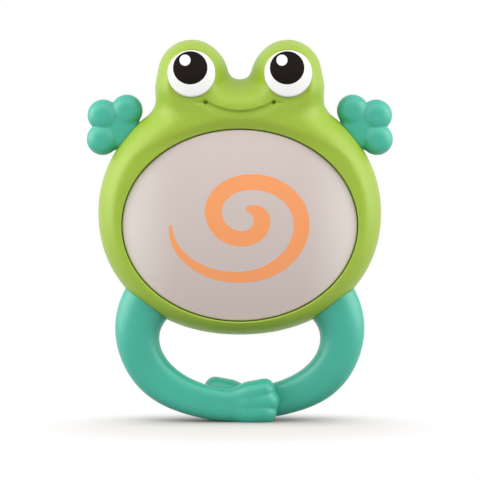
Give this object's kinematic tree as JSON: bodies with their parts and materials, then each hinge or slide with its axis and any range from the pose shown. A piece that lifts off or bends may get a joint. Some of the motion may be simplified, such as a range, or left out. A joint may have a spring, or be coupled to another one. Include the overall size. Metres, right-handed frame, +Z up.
{
  "type": "teething toy",
  "caption": "Frog tap drum and teether: round green shells with eye domes, a sprung milky belly panel, soft three-lobed hands and a soft loop of crossed legs to hold.",
  "frame": {"origin": "on the surface that the feet stand on, under the middle of the toy's bounding box", "axes": "+Z up from feet to eyes; the face and the belly panel look along -Y; +X is the viewer's right"},
  "size_m": [0.1376, 0.041, 0.1715],
  "materials": {
    "green_shell": "gloss moulded",
    "milky_panel": "milky satin, printed spiral",
    "eye_white": "gloss moulded",
    "pupil_black": "gloss moulded",
    "teal_rubber": "soft satin",
    "steel": "zinc plated",
    "board": "solder mask",
    "dark_plastic": "satin moulded",
    "paper_cone": "pressed paper",
    "lamp_clear": "clear moulded",
    "cell_sleeve": "plain printed sleeve",
    "contact_metal": "stamped sheet",
    "red_lead": "wire sleeve",
    "black_lead": "wire sleeve"
  },
  "bodies": {
    "casing": {"front_shell": "green_shell", "rear_shell": "green_shell", "shell_screw_1": "steel", "shell_screw_2": "steel", "shell_screw_3": "steel", "shell_screw_4": "steel", "shell_screw_5": "steel", "shell_screw_6": "steel", "left_eye": "eye_white", "right_eye": "eye_white", "left_pupil": "pupil_black", "right_pupil": "pupil_black", "left_hand": "teal_rubber", "right_hand": "teal_rubber", "leg_loop": "teal_rubber", "panel_spring_1": "steel", "panel_spring_2": "steel", "panel_spring_3": "steel", "panel_spring_4": "steel", "circuit_board": "board", "tap_switch_base": "dark_plastic", "sound_chip": "dark_plastic", "lamp_1": "lamp_clear", "lamp_2": "lamp_clear", "lamp_3": "lamp_clear", "lamp_4": "lamp_clear", "board_screw_1": "steel", "board_screw_2": "steel", "speaker_basket": "dark_plastic", "speaker_cone": "paper_cone", "speaker_magnet": "steel", "speaker_retainer": "dark_plastic", "retainer_screw_1": "steel", "retainer_screw_2": "steel", "power_switch_body": "dark_plastic", "battery_cell_1": "cell_sleeve", "battery_cell_2": "cell_sleeve", "bridge_contact": "contact_metal", "plus_contact": "contact_metal", "minus_contact": "contact_metal", "contact_spring_1": "steel", "contact_spring_2": "steel", "speaker_lead_1": "red_lead", "speaker_lead_2": "black_lead", "battery_lead_1": "red_lead", "battery_lead_2": "black_lead"},
    "panel": {"belly_panel": "milky_panel", "panel_screw_1": "steel", "panel_screw_2": "steel", "panel_screw_3": "steel", "panel_screw_4": "steel"},
    "tap_plunger": {"tap_switch_plunger": "pupil_black"},
    "switch_knob": {"power_switch_knob": "eye_white"},
    "door": {"battery_door": "green_shell", "door_screw_1": "steel", "door_screw_2": "steel"}
  },
  "joints": [
    {"name": "belly_press", "type": "slide", "parent": "casing", "child": "panel", "axis": [0, 1, 0], "range_m": [0, 0.0012], "stiffness_N_per_m": 1200, "springref_m": -0.001, "deforming": ["panel_spring_1", "panel_spring_2", "panel_spring_3", "panel_spring_4"]},
    {"name": "tap_switch_press", "type": "slide", "parent": "casing", "child": "tap_plunger", "axis": [0, 1, 0], "range_m": [0, 0.0012]},
    {"name": "power_switch_slide", "type": "slide", "parent": "casing", "child": "switch_knob", "axis": [1, 0, 0], "range_m": [0, 0.004]},
    {"name": "battery_door_lift", "type": "slide", "parent": "casing", "child": "door", "axis": [0, 1, 0], "range_m": [0, 0.03]}
  ],
  "couplings": [
    {"joint": "tap_switch_press", "follows": "belly_press", "ratio": 1}
  ]
}
